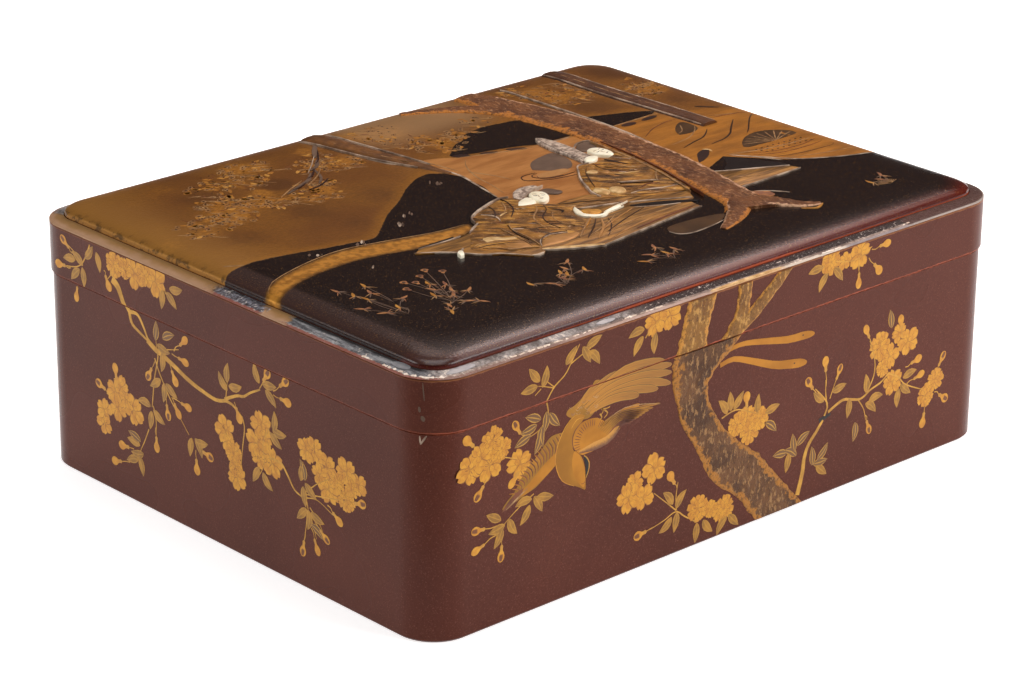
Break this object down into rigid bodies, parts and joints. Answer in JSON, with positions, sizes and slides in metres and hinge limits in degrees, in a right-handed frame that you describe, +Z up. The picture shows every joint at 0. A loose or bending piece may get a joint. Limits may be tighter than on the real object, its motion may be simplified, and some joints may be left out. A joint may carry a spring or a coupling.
{
  "type": "document box",
  "caption": "Rectangular lacquered document box with a lift-off lid, a raised panel with a carved garden picture and a metal edge strip.",
  "frame": {"origin": "centre of the underside, on the surface that the box stands on", "axes": "+X along the long side, +Y from the front with the climbing trunk to the back, +Z up"},
  "size_m": [0.4222, 0.3274, 0.152],
  "materials": {
    "base_lacquer": "wood under polished red-brown lacquer with gold sprinkled blossom sprays",
    "lid_lacquer": "wood under polished red-brown, black and gold lacquer, with relief in copper and gold",
    "worn_pewter": "soft grey metal, pitted and chipped",
    "carved_shell": "carved and polished off-white shell"
  },
  "bodies": {
    "root": {"base_box": "base_lacquer", "lid": "lid_lacquer", "lid_edge_strip": "worn_pewter", "shell_face_left": "carved_shell", "shell_face_right": "carved_shell", "shell_hand_left": "carved_shell", "shell_foot_left": "carved_shell"}
  },
  "joints": []
}
